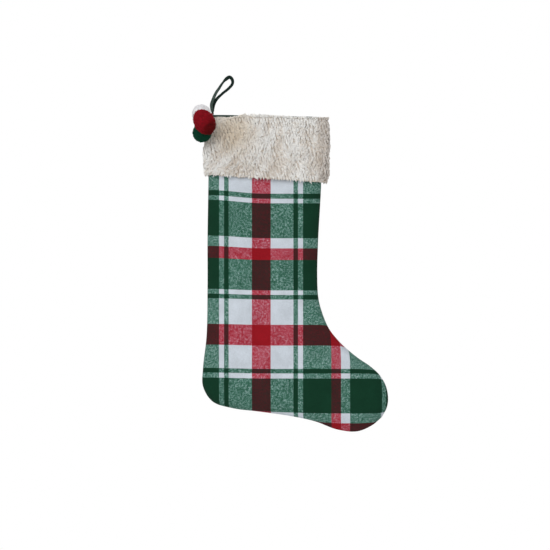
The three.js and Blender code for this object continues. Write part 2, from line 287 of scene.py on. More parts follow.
def make_piece(name, points, faces, material, body, stands_for=(), uv=None):
    """A mesh piece from pattern millimetres, with its material and the body it rides on.

    stands_for names the CAD nodes that it hides, and uv gives each point's two coordinates on the cloth.
    """
    data = bpy.data.meshes.new(name)
    data.from_pydata(to_row(points.reshape(-1, 3)).tolist(), [], [list(map(int, f)) for f in faces])
    if uv is not None:
        corner = np.zeros(len(data.loops), np.int32)
        data.loops.foreach_get("vertex_index", corner)
        layer = data.uv_layers.new(name="cloth")
        layer.data.foreach_set("uv", uv.reshape(-1, 2)[corner].astype(np.float32).ravel())
    shape = bmesh.new()
    shape.from_mesh(data)
    bmesh.ops.recalc_face_normals(shape, faces=shape.faces)
    shape.to_mesh(data)
    shape.free()
    data.polygons.foreach_set("use_smooth", [True] * len(data.polygons))
    data.materials.append(material)
    piece = new_object(name, data)
    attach(piece, body)
    if stands_for:
        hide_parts(*stands_for)
    return piece


def many_tubes(paths, radii, up, sides):
    """Points and faces of closed tubes. paths is (tubes, steps, 3), radii (tubes, steps), up (tubes, 3)."""
    count, steps = paths.shape[:2]
    tangent = unit(np.gradient(paths, axis=1))
    side = unit(np.cross(tangent, up[:, None]))
    other = np.cross(side, tangent)
    angle = 2 * math.pi * np.arange(sides) / sides
    ring = np.cos(angle)[:, None] * side[:, :, None] + np.sin(angle)[:, None] * other[:, :, None]
    points = paths[:, :, None] + ring * radii[:, :, None, None]
    body = grid_faces(steps, sides, wrap=True)
    ends = np.array([list(range(sides))[::-1], [(steps - 1) * sides + k for k in range(sides)]])
    shift = (np.arange(count) * steps * sides)[:, None, None]
    faces = [*(body[None] + shift).reshape(-1, 4).tolist(), *(ends[None] + shift).reshape(-1, sides).tolist()]
    return points.reshape(-1, 3), faces


def swept(line, section, depth_axis):
    """Points, faces and cloth coordinates of one closed bar along a line.

    section(distance) gives its outline's (width, depth) points, the depth measured near depth_axis.
    """
    tangent = unit(np.gradient(line, axis=0))
    across = unit(np.cross(tangent, depth_axis))
    deep = np.cross(across, tangent)
    distance = distance_along(line)
    outline = np.stack([section(d) for d in distance])
    points = line[:, None] + outline[..., :1] * across[:, None] + outline[..., 1:] * deep[:, None]
    sides = outline.shape[1]
    around = np.linspace(0, 1, sides)[None].repeat(len(line), 0)
    uv = np.stack([distance[:, None].repeat(sides, 1), around], -1)
    return points.reshape(-1, 3), closed_tube(len(line), sides), uv


def even_line(points, step):
    """A smooth curve through the points, cut into even steps."""
    fine = curve_points(points, np.linspace(0, 1, 80 * len(points)))
    distance = distance_along(fine)
    wanted = np.linspace(0, distance[-1], max(2, round(distance[-1] / step) + 1))
    return np.stack([np.interp(wanted, distance, fine[:, k]) for k in range(fine.shape[1])], 1)


# --- materials


class Shader:
    """A procedural material, built by calls that take sockets or plain values and return sockets."""

    def __init__(self, name, roughness, sheen=0.0, specular=0.25):
        self.material = bpy.data.materials.new(name)
        self.material.use_nodes = True
        self.tree = self.material.node_tree
        self.surface = self.tree.nodes["Principled BSDF"]
        self.surface.inputs["Roughness"].default_value = roughness
        self.surface.inputs["Specular IOR Level"].default_value = specular
        self.surface.inputs["Sheen Weight"].default_value = sheen

    def node(self, kind, inputs=None, **settings):
        made = self.tree.nodes.new("ShaderNode" + kind)
        for key, value in settings.items():
            setattr(made, key, value)
        for key, value in (inputs or {}).items():
            self.feed(made.inputs[key], value)
        return made

    def feed(self, socket, value):
        if isinstance(value, bpy.types.NodeSocket):
            self.tree.links.new(value, socket)
        else:
            socket.default_value = value

    def math(self, operation, *values):
        return self.node("Math", dict(enumerate(values)), operation=operation).outputs[0]

    def spread(self, value, width):
        """A value from 0 to 1 as one from -width / 2 to width / 2."""
        return self.math("MULTIPLY_ADD", value, width, -width / 2)

    def ramp(self, value, start, end, first, last, **settings):
        """Goes from first to last while the value goes from start to end, and no further."""
        inputs = {0: value, 1: start, 2: end, 3: first, 4: last}
        return self.node("MapRange", inputs, **settings).outputs[0]

    def mix(self, factor, first, second):
        """Colours mixed evenly: first at factor 0 and second at 1."""
        made = self.node("Mix", data_type="RGBA")
        self.feed(made.inputs[0], factor)
        self.feed(made.inputs[6], first if isinstance(first, bpy.types.NodeSocket) else (*first, 1))
        self.feed(made.inputs[7], second if isinstance(second, bpy.types.NodeSocket) else (*second, 1))
        return made.outputs[2]

    def place(self):
        """The point in the piece's own frame, in metres."""
        return self.node("TexCoord").outputs["Object"]

    def cloth(self):
        """The two coordinates laid on the piece, in millimetres unless its material says otherwise."""
        split = self.node("SeparateXYZ", {"Vector": self.node("UVMap", uv_map="cloth").outputs["UV"]})
        return split.outputs["X"], split.outputs["Y"]

    def noise(self, vector, scale, detail=2.0, roughness=0.5):
        inputs = {"Vector": vector, "Scale": scale, "Detail": detail, "Roughness": roughness}
        return self.node("TexNoise", inputs).outputs["Fac"]

    def bump(self, height, strength, distance):
        made = self.node("Bump", {"Height": height, "Strength": strength, "Distance": distance})
        self.feed(self.surface.inputs["Normal"], made.outputs["Normal"])

    def colour(self, value):
        self.feed(self.surface.inputs["Base Color"], value)
        return self.material


def log_colour(colour):
    return [1 + math.log(c) / LOG_RANGE for c in colour]


def sett_colour(shader, index, sett, start):
    """The logarithm of a yarn's dye, and its cover, from the yarn's number across the cloth."""
    repeat = sum(width for _, width in sett)
    middle = shader.math("MULTIPLY_ADD", index, YARN_PITCH, YARN_PITCH / 2 - start)
    share = shader.math("FRACT", shader.math("DIVIDE", middle, repeat))
    ramp = shader.node("ValToRGB", {"Fac": share})
    ramp.color_ramp.interpolation = "CONSTANT"
    stops = ramp.color_ramp.elements
    position = 0.0
    for k, (name, width) in enumerate(sett):
        stop = stops[k] if k < 2 else stops.new(position / repeat)  # a new ramp has two stops
        stop.position = position / repeat
        stop.color = (*log_colour(SETT_COLOURS[name]), SETT_COVER[name])
        position += width
    return ramp.outputs["Color"], ramp.outputs["Alpha"]


def fleck_show(shader, warp, weft):
    """How strongly flecks show where two yarns cross: fully with white, and little where red meets green."""
    lightness = [shader.node("SeparateColor", {"Color": dye}).outputs["Green"] for dye in (warp, weft)]
    contrast = shader.math("ABSOLUTE", shader.math("SUBTRACT", *lightness))
    return shader.ramp(contrast, 0.22, 0.4, 0.35, 1.0)


def yarn_round(shader, place):
    """0 along a yarn's two sides and 1 along its middle, from a place counted in yarns."""
    return shader.math("SINE", shader.math("MULTIPLY", shader.math("FRACT", place), math.pi))


def plaid_material():
    """Brushed 2/2 twill: at a crossing both yarns show, the upper one a little more, in uneven flecks."""
    shader = Shader("plaid_flannel", roughness=0.95, sheen=0.02, specular=0.06)
    across, down = shader.cloth()
    warp_place = shader.math("DIVIDE", across, YARN_PITCH)
    weft_place = shader.math("DIVIDE", down, YARN_PITCH)
    warp_index = shader.math("FLOOR", warp_place)
    weft_index = shader.math("FLOOR", weft_place)
    warp, warp_cover = sett_colour(shader, warp_index, WARP_SETT, WARP_START)
    weft, weft_cover = sett_colour(shader, weft_index, WEFT_SETT, WEFT_START)
    step = shader.math("FRACT", shader.math("DIVIDE", shader.math("ADD", warp_index, weft_index), 4))
    warp_up = shader.math("LESS_THAN", step, 0.5)

    # The warp yarn's share of what shows.
    both = shader.math("MULTIPLY_ADD", weft_cover, WEFT_COVER, warp_cover)
    share = shader.math("DIVIDE", warp_cover, both)
    share = shader.math("ADD", share, shader.spread(warp_up, TWILL_SHOW))
    flecks = shader.spread(shader.noise(shader.place(), 500, 0), FLECK_STRENGTH)
    share = shader.math("MULTIPLY_ADD", flecks, fleck_show(shader, warp, weft), share)
    mixed = shader.mix(share, weft, warp)

    # The mixed logarithm with the shade of the nap and of the cloth, turned back into a colour.
    nap = shader.noise(shader.place(), 900, 3, 0.7)
    tone = shader.noise(shader.place(), 45, 2)
    shade = shader.math("ADD", shader.spread(nap, 0.11), shader.spread(tone, 0.05))
    channels = shader.node("SeparateColor", {"Color": mixed})
    dye = shader.node("CombineColor")
    for k in range(3):
        shaded = shader.math("ADD", channels.outputs[k], shade)
        power = shader.math("MULTIPLY_ADD", shaded, LOG_RANGE, -LOG_RANGE)
        shader.feed(dye.inputs[k], shader.math("EXPONENT", power))

    rounds = {0: warp_up, 2: yarn_round(shader, weft_place), 3: yarn_round(shader, warp_place)}
    upper_yarn = shader.node("Mix", rounds).outputs[0]
    shader.bump(shader.math("MULTIPLY_ADD", nap, 1.4, upper_yarn), 0.55, 0.25 * MM)
    return shader.colour(dye.outputs["Color"])


def plain_weave_material(name, dark, light, pitch, sheen):
    """A plain woven cloth of one dye, its yarns a pitch apart in millimetres."""
    shader = Shader(name, roughness=0.8, sheen=sheen)
    split = shader.node("SeparateXYZ", {"Vector": shader.place()})
    turn = math.pi / (pitch * MM)
    waves = [shader.math("SINE", shader.math("MULTIPLY", split.outputs[k], turn)) for k in (0, 2)]
    weave = shader.math("MULTIPLY", *waves)
    tone = shader.noise(shader.place(), 60, 4, 0.6)
    shader.bump(shader.math("MULTIPLY_ADD", tone, 0.6, weave), 0.45, 0.15 * MM)
    return shader.colour(shader.mix(shader.math("MULTIPLY_ADD", weave, 0.18, tone), dark, light))


def spot(shader, centre, reach):
    """A soft round patch: 1 at its centre and 0 from reach, in metres."""
    away = shader.node("VectorMath", {0: shader.place(), 1: centre}, operation="DISTANCE").outputs["Value"]
    return shader.ramp(away, 0.0, reach, 1.0, 0.0, interpolation_type="SMOOTHERSTEP")


# The pile's colours: its dyes, and the painted shades for the fold valleys, the far end and the roots.
FLEECE_DYES_AND_PAINTED_SHADES = {
    "fold": (0.7, 0.58, 0.46),
    "ridge": (1.0, 0.985, 0.95),
    "patch": (0.94, 0.9, 0.84),
    "corner": (0.74, 0.6, 0.42),
    "end": (0.58, 0.48, 0.4),
    "root": (0.45, 0.36, 0.27),
}
FLEECE_CORNER = ((0.004, -0.022, -0.084), 0.058)  # centre and reach of the darker, yellower patch by the loop's corner, in metres
FLEECE_END_SHADE = (0.131, 0.142)  # where the painted shade of the cuff's far end begins, and where it is at its darkest, in metres


def fleece_material():
    """Cream pile, with painted shade at its roots, in the folds' valleys and at the far end, painted light
    near the top, and a darker, yellower patch at the loop's corner.

    Its cloth coordinates are the share of the way along a strand, and the strand's tone from 0 to 1, which
    carries the folds' painted shade and the top's painted light.
    """
    shader = Shader("curly_fleece", roughness=1.0, sheen=0.5, specular=0.1)
    along, lock_tone_and_painted_light = shader.cloth()
    place = shader.place()
    # painted shade and light: the lock's tone mixes the dark fold colour into the valleys and the ridge
    # colour onto the ridges and the top
    cream = shader.mix(lock_tone_and_painted_light, FLEECE_DYES_AND_PAINTED_SHADES["fold"], FLEECE_DYES_AND_PAINTED_SHADES["ridge"])
    patches = shader.noise(place, 26, 2)
    cream = shader.mix(shader.math("MULTIPLY", patches, 0.4), cream, FLEECE_DYES_AND_PAINTED_SHADES["patch"])
    corner = shader.math("MULTIPLY", spot(shader, *FLEECE_CORNER), 0.7)
    cream = shader.mix(corner, cream, FLEECE_DYES_AND_PAINTED_SHADES["corner"])
    # painted shade: the cuff's far end, which curves away from the light, is darkened
    across = shader.node("SeparateXYZ", {"Vector": place}).outputs["X"]
    cream = shader.mix(shader.ramp(across, *FLEECE_END_SHADE, 0.0, 0.55), cream, FLEECE_DYES_AND_PAINTED_SHADES["end"])
    # painted shade: the strands darken towards their roots, where the pile shades itself
    root = shader.math("SUBTRACT", 1, shader.math("MULTIPLY", along, 2.6))
    root = shader.math("MULTIPLY", shader.math("MAXIMUM", root, 0), 0.46)
    strands = shader.mix(root, cream, FLEECE_DYES_AND_PAINTED_SHADES["root"])
    shader.bump(shader.noise(place, 1400, 3, 0.7), 0.4, 0.3 * MM)
    shader.surface.inputs["Subsurface Weight"].default_value = 0.3
    shader.surface.inputs["Subsurface Radius"].default_value = (1, 0.88, 0.75)
    shader.surface.inputs["Subsurface Scale"].default_value = 3 * MM
    return shader.colour(strands)


def yarn_material(name, dark, light, painted_shade_patch=None):
    """Cut wool: short soft fibres. The optional (centre, reach) patch, in metres, is painted shade that
    darkens the yarn there.
    """
    shader = Shader(name, roughness=1.0, sheen=0.02, specular=0.08)
    tone = shader.noise(shader.place(), 700, 3, 0.7)
    patches = shader.noise(shader.place(), 90, 2)
    shader.bump(tone, 0.5, 0.25 * MM)
    shade = shader.math("MULTIPLY_ADD", patches, 0.5, shader.math("MULTIPLY", tone, 0.5))
    if painted_shade_patch:
        # painted shade: the yarn is darkened round the patch's centre
        shade = shader.math("SUBTRACT", shade, shader.math("MULTIPLY", spot(shader, *painted_shade_patch), 0.75))
    return shader.colour(shader.mix(shade, dark, light))


def thread_material(name, dark, light):
    """Sewing thread: a little smoother than the yarn."""
    shader = Shader(name, roughness=0.6, sheen=0.05, specular=0.15)
    tone = shader.noise(shader.place(), 900, 3, 0.6)
    shader.bump(tone, 0.5, 0.15 * MM)
    return shader.colour(shader.mix(tone, dark, light))


def cord_material():
    """Braided cord: fine slanting picks, near black, with painted light making its first strand paler."""
    shader = Shader("loop_cord", roughness=0.7, sheen=0.02, specular=0.1)
    along, around = shader.cloth()
    slant = shader.math("MULTIPLY_ADD", along, 5.2, shader.math("MULTIPLY", around, 12 * math.pi))
    picks = shader.math("MULTIPLY_ADD", shader.math("SINE", slant), 0.5, 0.5)
    tone = shader.noise(shader.place(), 500, 3, 0.6)
    # painted light: the first strand is paler, as where its face turns to the light
    painted_light_share = shader.ramp(along, 34.0, 60.0, 1.0, 0.0)
    pale = shader.mix(painted_light_share, (0.01, 0.03, 0.023), (0.17, 0.24, 0.21))
    shader.bump(picks, 0.5, 0.2 * MM)
    return shader.colour(shader.mix(shader.math("MULTIPLY", picks, tone), (0.002, 0.009, 0.006), pale))


PAINTED_SHADE_RED = ((-0.026, -0.062, -0.082), 0.024)  # centre and reach of the painted shade on the red ball, in metres
PLAID = plaid_material()
LINING = plain_weave_material("lining_cloth", (0.005, 0.035, 0.02), (0.012, 0.06, 0.036), 0.55, sheen=0.1)
BINDING = plain_weave_material("binding_tape", (0.003, 0.022, 0.014), (0.008, 0.04, 0.026), 0.4, sheen=0.15)
FLEECE = fleece_material()
CORD = cord_material()
THREAD = thread_material("sewing_thread", (0.006, 0.035, 0.022), (0.02, 0.09, 0.06))
YARNS = {
    "white": yarn_material("white_yarn", (0.66, 0.65, 0.66), (0.86, 0.86, 0.87)),
    "red": yarn_material("red_yarn", (0.11, 0.003, 0.004), (0.37, 0.008, 0.02), PAINTED_SHADE_RED),
    "green": yarn_material("green_yarn", (0.002, 0.03, 0.015), (0.006, 0.08, 0.042)),
}


# --- shell and lining


PANEL_ROWS = 260
PANEL_COLUMNS = 76
TIP = 0.9985  # the share of the pattern where the panel's two edges have all but met
RIM_COLUMNS = 120
STITCH_DROP = 5  # how far below the rim the stitches run
STITCH_PITCH = 3.4
STITCH_LENGTH = 2.6


def share_down(drop):
    """The share of the pattern at a drop below the rim, as far down as the cuff goes."""
    return drop / CUFF_HEIGHT * CUFF_SPAN


def weft_dip(plane):
    """How far the cloth's crosswise lines hang below level, less towards the heel side and near the mouth."""
    x, z = plane.T
    return -(1.5 + 4.7 * smoothstep(150, 420, z)) * (1 - smoothstep(0, 90, x))


def cloth_panel(name, material, back, outer, inner, node):
    """One cut of cloth with its wrinkles, from its outer face to its inner one, sewn edge to tip."""
    u = np.linspace(0, TIP, PANEL_ROWS)[:, None]
    face = Face(u, crowded(np.linspace(0, 1, PANEL_COLUMNS))[None])
    swell = wrinkles(face, 5 if back else 1)
    layers = [face.points(-offset, swell) for offset in (outer, inner)]
    points = np.concatenate([layers[0], layers[1][:, ::-1]], axis=1)
    points[..., 1] -= SEAM_GAP / 2
    if back:
        points = mirrored(points)
    cloth = face.cloth()
    cloth[:, 1] += weft_dip(face.plane)
    cloth[:, 1] = WEFT_START * 2 - cloth[:, 1]  # the sett runs down the cloth
    cloth = cloth.reshape(PANEL_ROWS, PANEL_COLUMNS, 2)
    uv = np.concatenate([cloth, cloth[:, ::-1]], axis=1)
    around = 2 * PANEL_COLUMNS
    faces = grid_faces(PANEL_ROWS, around, wrap=True)
    k = np.arange(PANEL_COLUMNS - 1)
    cap = np.stack([k, k + 1, around - 2 - k, around - 1 - k], 1)
    faces = np.vstack([faces, cap, cap[:, ::-1] + (PANEL_ROWS - 1) * around])
    piece = make_piece(name, points, faces, material, "stocking", [node], uv)


def rim_ring(profile):
    """A closed ring round both sides of the leg. profile is a closed list of (offset, drop below the rim)."""
    v = crowded(np.linspace(0, 1, RIM_COLUMNS))
    sections = []
    for offset, drop in profile:
        points = Face(share_down(max(drop, 0)), v).points(offset)
        points[:, 2] -= min(drop, 0)
        sections.append(np.concatenate([points, mirrored(points)[-2:0:-1]]))
    return np.stack(sections, 1)


def mouth_binding():
    """Bias tape folded over the raw edges, with a soft fold along its top and slightly wavy legs."""
    outer_near, outer_far = BINDING_OUTER
    inner_near, inner_far = BINDING_INNER
    drop = BINDING_DROP
    middle = (outer_far + inner_far) / 2
    half = (outer_far - inner_far) / 2
    fold = [(middle + half * math.cos(a), -0.35 - 1.35 * math.sin(a)) for a in np.linspace(0, math.pi, 9)]
    profile = [(outer_far, drop), (outer_far + 0.1, drop / 2), *fold, (inner_far - 0.1, drop / 2)]
    profile += [(inner_far, drop), (inner_near, drop), (inner_near, -0.45), (outer_near, -0.45)]
    profile += [(outer_near, drop)]
    points = rim_ring(profile)
    ring, around = points.shape[:2]
    points = np.concatenate([points, points[:1]])
    ripple = noise_field(points, (14, 9, 30), 31)[..., None] * np.array([0, 0, 0.25])
    ripple[-1] = ripple[0]
    points = (points + ripple)[:ring]
    faces = grid_faces(ring + 1, around, wrap=True) % (ring * around)
    make_piece("mouth_tape", points, faces, BINDING, "stocking", ["mouth_binding"])


def binding_stitches():
    """Single stitches in a row inside the mouth, through the binding and the lining."""
    inset = BINDING_INNER[1] - 0.25
    front = Face(share_down(STITCH_DROP), crowded(np.linspace(0.03, 1, 600))).points(inset)
    line = np.concatenate([front, mirrored(front)[-2::-1]])
    distance = distance_along(line)
    starts = np.arange(1, distance[-1] - 4, STITCH_PITCH)
    along = starts[:, None] + np.linspace(0, STITCH_LENGTH, 7)
    paths = np.stack([np.interp(along, distance, line[:, k]) for k in range(3)], -1)
    radii = np.broadcast_to([0.1, 0.26, 0.32, 0.33, 0.32, 0.26, 0.1], along.shape)
    up = np.broadcast_to([0.0, 0.0, 1.0], (len(starts), 3))
    points, faces = many_tubes(paths, radii, up, 6)
    make_piece("mouth_stitches", points, faces, THREAD, "stocking", ["binding_stitch"])


# --- cuff


SEAM_CREASE = 171  # how far along the pattern the fleece creases, just before the cuff's end
CUFF_BASE = 5.2  # how far the fleece's backing and matted roots stand out from the shell
BACKING_IN = 1.95  # and where the backing's inner side lies
HEM_RAISED = 0.9  # how far above the hem the backing ends
CUFF_LENGTH = 174  # across the leg
CUFF_TOE_SWELL = 5.5  # how far the cuff bulges at its toe-side end
CUFF_PINCH = 3.2  # and how far it is pulled in at the loop
FOLD_CENTRE = (90, 440)  # the folds slant about this point of the pattern
CREST_LOW = 2.3  # how far the fold's crest sags beside the loop, which bares the binding there
CREST_RISE = 3.4  # and how much higher it stands further along
CREST_LOCKS = 0.08  # the share of the locks that grow along the crest
PILE_HEIGHT = 3.3
LOCK_LENGTH = (5, 9)
LOCKS_EACH_SIDE = 3300
STRANDS_IN_LOCK = 7
PILE_LAYERS = 4  # separate pieces that share out each side's locks
EVEN_SPREAD = np.array([0.7548777, 0.5698403])  # steps whose multiples fill a square evenly


def cuff_stand_out(v, drop):
    """How much further the cuff stands out: it bulges at the toe-side end and is pinched at the loop."""
    bulge = np.sqrt(np.sin(math.pi * np.clip(drop / CUFF_HEIGHT, 0.02, 0.98)))
    pinch = (1 - smoothstep(0, 0.09, v)) * (1 - smoothstep(0, 0.45 * CUFF_HEIGHT, drop))
    return CUFF_TOE_SWELL * smoothstep(0.91, 1, v) * bulge - CUFF_PINCH * pinch


def crest_lift(v):
    """From 0 to 1: the fold's crest is low beside the loop, highest before the middle, lower at the end."""
    return smoothstep(0.14, 0.33, v) * (1 - 0.28 * smoothstep(0.45, 0.8, v))


def crest_shift(v, drop):
    """How far up the fold's crest is moved, fading out below it."""
    return (CREST_RISE * crest_lift(v) - CREST_LOW) * np.exp(-drop / 8)


def cuff_folds(plane):
    """The cuff's soft folds, from -1 in a valley to 1 on a ridge. They slant at the loop, less at the toe."""
    x, z = (plane - FOLD_CENTRE).T
    slant = 0.85 + 0.6 * smoothstep(50, 150, plane[:, 0])
    across = x * np.sin(slant) - z * np.cos(slant)
    along = x * np.cos(slant) + z * np.sin(slant)
    ridges = plane_noise(across, along, (13, 46), 41)
    crease = np.exp(-(((plane[:, 0] - SEAM_CREASE) / 4) ** 2))
    return np.clip(1.7 * ridges - 1.1 * crease, -1, 1)


def cuff_point(v, drop, offset, back):
    """Points of the cuff's outer side, and the directions out of it, at drops below the rim."""
    face = Face(share_down(drop), v)
    lumps = 0.6 * plane_noise(*face.plane.T, (17, 21), 42)
    stand_out = offset + cuff_stand_out(v, drop) + lumps + 1.3 * cuff_folds(face.plane)
    points = face.points(np.maximum(stand_out, BACKING_IN + 0.5))
    points[:, 1] -= SEAM_GAP / 2
    points[:, 2] += crest_shift(v, drop)
    return (mirrored(points), mirrored(face.normal)) if back else (points, face.normal)


def cuff_backing(name, node, back):
    """The knitted backing and the matted roots of the pile, turned down over the shell."""
    bottom = CUFF_HEIGHT - HEM_RAISED
    v = crowded(np.linspace(0, 1, 110))
    hem = plane_noise(v * CUFF_LENGTH, 0 * v, (13, 1), 43)
    crest = [(3.4 + (CUFF_BASE - 3.4) * math.sin(a), 1.6 - 1.6 * math.cos(a)) for a in np.linspace(0, 1.5, 5)]
    outer = crest + [(CUFF_BASE, d) for d in np.linspace(3, bottom - 1, 44)] + [(CUFF_BASE - 1, bottom)]
    inner = [(BACKING_IN, d) for d in (bottom, *np.linspace(bottom - 3, 0.5, 14))] + [(2.6, 0.1)]
    sections = []
    for offset, drop in outer:
        sections.append(cuff_point(v, drop + hem * (drop > bottom - 2), offset, back)[0])
    for offset, drop in inner:
        drops = drop + hem * (drop > bottom - 2)
        points = Face(share_down(drops), v).points(offset) - np.array([0, SEAM_GAP / 2, 0])
        points[:, 2] += crest_shift(v, drops)
        sections.append(mirrored(points) if back else points)
    points = np.stack(sections, 1)
    columns, around = points.shape[:2]
    faces = closed_tube(columns, around)
    uv = np.broadcast_to([0, 0.3], (columns, around, 2))  # a strand's root colour with its painted shade, in a darkish tone
    piece = make_piece(name, points, faces, FLEECE, "stocking", [node], uv)


def section_arc():
    """Shares of the cuff's length round one side, and the v at each, for spreading the pile evenly."""
    v = np.linspace(0, 1, 300)
    distance = distance_along(Face(0.5 * CUFF_SPAN, v).points(CUFF_BASE))
    return distance / distance[-1], v


ARC_SHARE, ARC_V = section_arc()


def lock_roots(rng, back):
    """Where the locks grow, the way each lies along the cuff, and how long and how high each stands."""
    locks = LOCKS_EACH_SIDE // PILE_LAYERS
    across, down_share = (rng.random(2) + np.arange(locks)[:, None] * EVEN_SPREAD).T % 1
    v = np.interp(across, ARC_SHARE, ARC_V)
    at_crest = rng.random(locks) < CREST_LOCKS
    drop = np.where(at_crest, rng.uniform(0.2, 2, locks), (CUFF_HEIGHT - 4) * down_share)
    root, out = cuff_point(v, drop, CUFF_BASE - 0.8, back)
    down = unit(out * out[:, 2:] - np.array([0, 0, 1]))
    side = np.cross(down, out)
    lean = 1.5 * noise_field(root, (24, 24, 30), 51 + 3 * back) + 0.7 * noise_field(root, (8, 8, 10), 60)
    lean += rng.normal(0, 0.2, locks)
    lean *= smoothstep(-14, 16, CUFF_HEIGHT - drop) * (0.35 + 0.65 * smoothstep(2, 14, drop))
    heading = down * np.cos(lean)[:, None] + side * np.sin(lean)[:, None]
    lift = crest_lift(v)[:, None]
    sideways = side * rng.normal(0, 0.8, locks)[:, None]
    upright = sideways + np.array([0, 0, 1]) * (1.25 * lift - 0.75) + out * (0.75 - 0.3 * lift)
    heading = unit(np.where(at_crest[:, None], upright, heading))
    length = rng.uniform(*LOCK_LENGTH, locks) * np.where(at_crest, 0.35 + 0.35 * lift[:, 0], 1)
    length *= 1 - 0.2 * smoothstep(CUFF_HEIGHT - 14, CUFF_HEIGHT - 4, drop)
    height = PILE_HEIGHT * rng.uniform(0.55, 1.25, locks) * np.where(at_crest, 0.5, 1)
    return root, out, heading, length, height


def pile(name, back, seed):
    """Locks of pile: strands that leave a lock's root together, lean its way, wave, and meet at its tip."""
    rng = np.random.default_rng(seed)
    root, out, heading, length, height = lock_roots(rng, back)
    locks = len(root)
    across = unit(np.cross(heading, out))
    s = np.linspace(0, 1, 6)
    pick = np.repeat(np.arange(locks), STRANDS_IN_LOCK)
    count = len(pick)
    spread = rng.uniform(-1.6, 1.6, count)[:, None]
    lag = rng.uniform(-1.3, 1.3, count)[:, None]
    phase = (rng.uniform(0, 2 * math.pi, locks)[pick] + rng.normal(0, 0.35, count))[:, None]
    wave = rng.uniform(0.5, 1.3, locks)[pick][:, None]
    sideways = spread * (1 - 0.8 * s**1.3) + wave * np.sin(phase + 5.2 * s) * s
    forward = length[pick][:, None] * s + lag * (1 - 0.5 * s)
    rise = height[pick][:, None] * (np.sin(math.pi * np.clip(0.08 + 0.78 * s, 0, 1)) ** 0.8 - 0.15)
    rise += rng.uniform(-0.6, 0.6, count)[:, None] * s
    paths = root[pick][:, None] + heading[pick][:, None] * forward[..., None]
    paths = paths + across[pick][:, None] * sideways[..., None] + out[pick][:, None] * rise[..., None]
    thick = rng.uniform(0.36, 0.66, count)
    radii = thick[:, None] * np.array([0.8, 1.0, 1.0, 0.9, 0.65, 0.15])
    points, faces = many_tubes(paths, radii, out[pick], 3)
    # painted shade: the locks in the fold valleys and at the seam crease get a darker tone
    folds = cuff_folds((root + heading * length[:, None] / 2)[:, ::2])
    # painted light: the locks near the cuff's top get a lighter tone
    tone = 0.78 + 0.5 * folds + 0.35 * smoothstep(479, 487, root[:, 2]) + rng.uniform(-0.3, 0.3, locks)
    tone = np.clip(tone[pick] + rng.normal(0, 0.18, count), 0, 1)
    uv = np.stack(np.broadcast_arrays(s[None, :, None], tone[:, None, None], np.zeros((count, 6, 3)))[:2], -1)
    make_piece(name, points, faces, FLEECE, "stocking", uv=uv)


# --- hanging loop


LOOP_ROUTE = [
    [7.8, -1.25, 496.1], [6.4, -1.25, 501.5], [6.1, -1.25, 507], [8.6, -1.25, 515], [13, -0.6, 525],
    [17.8, -0.2, 532.2], [22.8, 0, 539.8], [28.6, 0, 546.4], [34, 0, 549.5], [38, 0.1, 546],
    [38.6, 0.2, 539.8], [33, 0.4, 532.4], [24, 0.7, 525], [13.6, 1.25, 515], [9.6, 1.25, 506.6],
    [7.8, 1.25, 496.1],
]  # fmt: skip
LOOP_WIDTH = 4.5
LOOP_DEPTH = 2.3
NARROWING_PLACES = [0, 18, 38, 51, 58, 66, 74, 100, 112, 131]  # millimetres along the loop
NARROWING = [0.95, 1, 0.88, 0.68, 1.12, 1.08, 0.92, 0.82, 1, 0.85]  # the share of its width there
KNOT = (7.8, 0, 493.9)
KNOT_CORE = (-2.1, 2.3)  # from where to where the knot reaches, above its middle
WHIPPING = (-2.1, 0.7)  # and its whipping
WHIPPING_TURNS = 4
TAIL_X = 9.6
TAIL = (474.2, 490.8)  # the heights of the cord ends inside the mouth


def ribbed(width, depth, ribs, turns=0.0, relief=0.09, points=54, narrowed=None):
    """The outline of a ribbed cord, its ribs turned a little further with each millimetre along it."""
    angle = 2 * math.pi * np.arange(points) / points

    def outline(distance):
        ridge = 1 + relief * np.cos(ribs * angle + turns * distance)
        shown = width * (narrowed(distance) if narrowed else 1)
        return np.stack([shown / 2 * np.cos(angle) * ridge, depth / 2 * np.sin(angle) * ridge], 1)

    return outline


def loop_narrowing(distance):
    """The share of its full width that the cord shows from the front, where it turns partly edge on."""
    return np.interp(distance, NARROWING_PLACES, NARROWING)


def hanging_loop():
    """The doubled cord, from the knot round the top of the loop and back to the knot."""
    line = even_line(LOOP_ROUTE, 0.7)
    points, faces, uv = swept(line, ribbed(LOOP_WIDTH, LOOP_DEPTH, 12, narrowed=loop_narrowing), (0, 1, 0))
    piece = make_piece("loop_cord", points, faces, CORD, "loop", ["hanging_loop"], uv)


def loop_knot():
    """The whipping that binds the doubled cord: a few turns of thread round its two strands."""
    core = KNOT + np.outer(np.linspace(*KNOT_CORE, 9), (0, 0, 1))
    points, faces, uv = swept(core, ribbed(3.1, 4.4, 14), (0, 1, 0))
    make_piece("loop_core", points, faces, CORD, "knot", ["loop_knot"], uv)
    turn = np.linspace(0, 2 * math.pi * WHIPPING_TURNS, 130)
    coil = KNOT + np.stack([1.5 * np.cos(turn), 2.1 * np.sin(turn), np.linspace(*WHIPPING, 130)], 1)
    points, faces, uv = swept(coil, ribbed(0.72, 0.72, 3, 2.5, 0.12, 12), (0, 0, 1))
    make_piece("loop_whipping", points, faces, CORD, "knot", uv=uv)


def loop_tail():
    """The two cord ends that go down inside the mouth and are sewn there."""
    for side, y in (("front", -0.95), ("back", 0.95)):
        heights = np.linspace(*TAIL, 30)
        line = np.stack([TAIL_X + 0.15 * np.sin(heights / 3), np.full(30, y), heights], 1)
        points, faces, uv = swept(line, ribbed(1.5, 1.7, 7, 0, 0.1, 36), (0, 1, 0))
        stands_for = ["loop_tail"] if side == "front" else []
        make_piece(f"loop_end_{side}", points, faces, CORD, "stocking", stands_for, uv)


# --- pompoms


